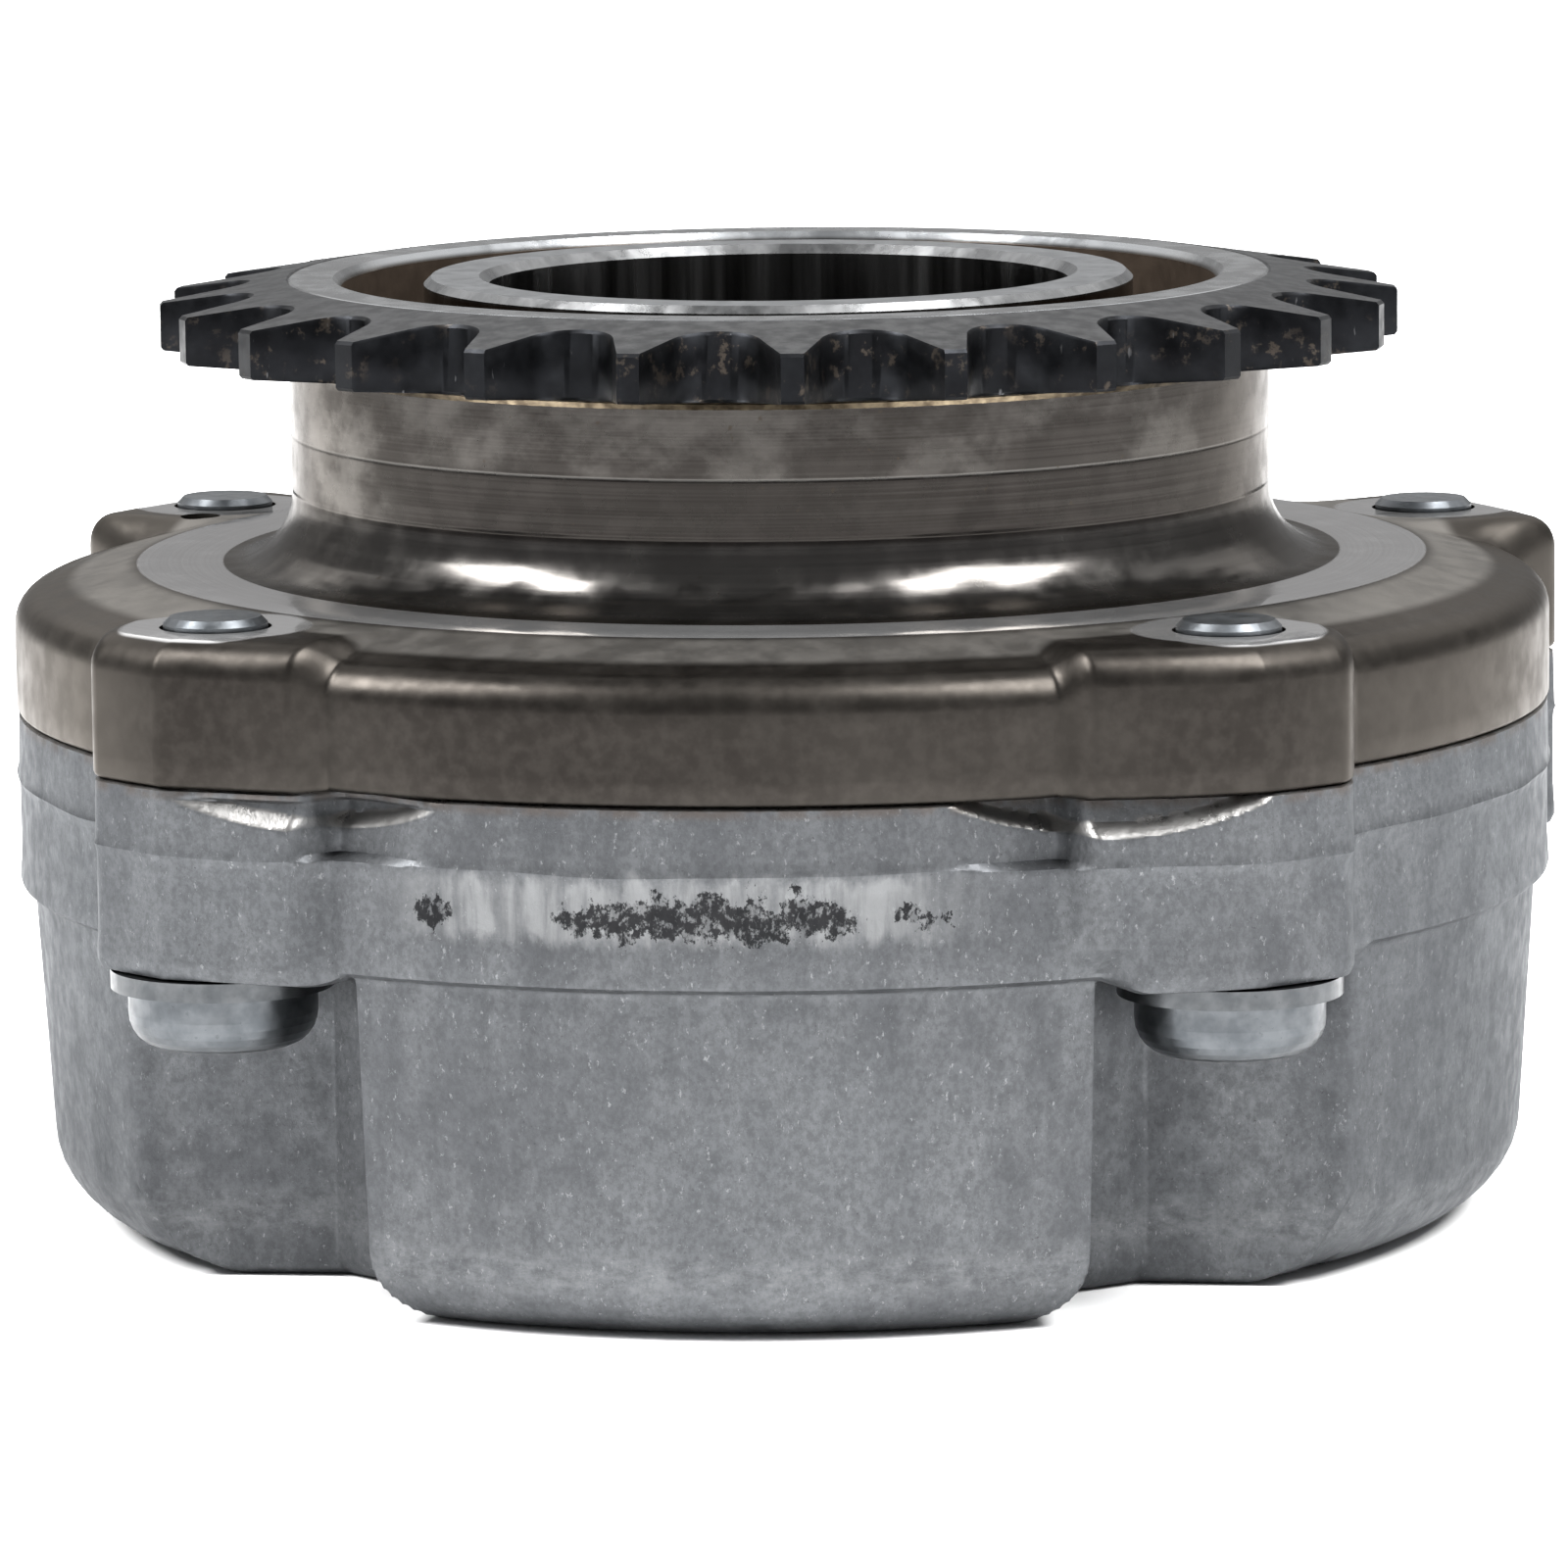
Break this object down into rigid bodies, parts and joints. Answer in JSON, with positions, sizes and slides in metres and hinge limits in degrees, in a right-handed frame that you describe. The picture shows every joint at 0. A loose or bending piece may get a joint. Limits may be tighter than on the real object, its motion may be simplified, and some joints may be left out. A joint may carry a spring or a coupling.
{
  "type": "camshaft phaser",
  "caption": "Hydraulic camshaft phaser: a lobed cast housing screwed to a steel cover whose neck carries a chain sprocket, with a vane rotor and sleeve turning inside.",
  "frame": {"origin": "centre of the housing's flat bottom face, on the turning axis", "axes": "+Z along the turning axis from the flat bottom to the sprocket; -Y through the middle of the front pressure chamber, midway between the two front screws"},
  "size_m": [0.0848, 0.0848, 0.0516],
  "materials": {
    "housing_aluminium": "die-cast, matt",
    "cover_steel": "turned and forged, satin",
    "sprocket_steel": "hardened, blue-black",
    "braze": "satin",
    "rotor_steel": "sintered",
    "sleeve_steel": "ground and bored",
    "screw_zinc": "zinc plated",
    "washer_zinc": "zinc plated",
    "spring_steel": "oil tempered",
    "seal_polymer": "matt",
    "hardened_steel": "ground"
  },
  "bodies": {
    "housing_body": {"housing": "housing_aluminium", "cover": "cover_steel", "sprocket": "sprocket_steel", "braze_ring": "braze", "return_spring": "spring_steel", "web_seal_1": "seal_polymer", "web_seal_2": "seal_polymer", "web_seal_3": "seal_polymer", "web_seal_4": "seal_polymer", "web_seal_spring_1": "spring_steel", "web_seal_spring_2": "spring_steel", "web_seal_spring_3": "spring_steel", "web_seal_spring_4": "spring_steel", "lock_bush_retard": "hardened_steel", "lock_bush_advance": "hardened_steel", "screw_1": "screw_zinc", "screw_2": "screw_zinc", "screw_3": "screw_zinc", "screw_4": "screw_zinc", "washer_1": "washer_zinc", "washer_2": "washer_zinc", "washer_3": "washer_zinc", "washer_4": "washer_zinc"},
    "rotor_body": {"rotor": "rotor_steel", "sleeve": "sleeve_steel", "lock_spring": "spring_steel", "lock_spring_seat": "hardened_steel", "vane_seal_1": "seal_polymer", "vane_seal_2": "seal_polymer", "vane_seal_3": "seal_polymer", "vane_seal_4": "seal_polymer", "vane_seal_spring_1": "spring_steel", "vane_seal_spring_2": "spring_steel", "vane_seal_spring_3": "spring_steel", "vane_seal_spring_4": "spring_steel"},
    "lock_pin_body": {"lock_pin": "hardened_steel"}
  },
  "joints": [
    {"name": "phase_turn", "type": "hinge", "parent": "housing_body", "child": "rotor_body", "pos_m": [0, 0, 0.015], "axis": [0, 0, 1], "range_deg": [0, 27], "stiffness_Nm_per_rad": 0.5, "springref_deg": -20.05},
    {"name": "lock_pin_slide", "type": "slide", "parent": "rotor_body", "child": "lock_pin_body", "axis": [0, 0, 1], "range_m": [0, 0.0035], "deforming": ["lock_spring"]}
  ]
}
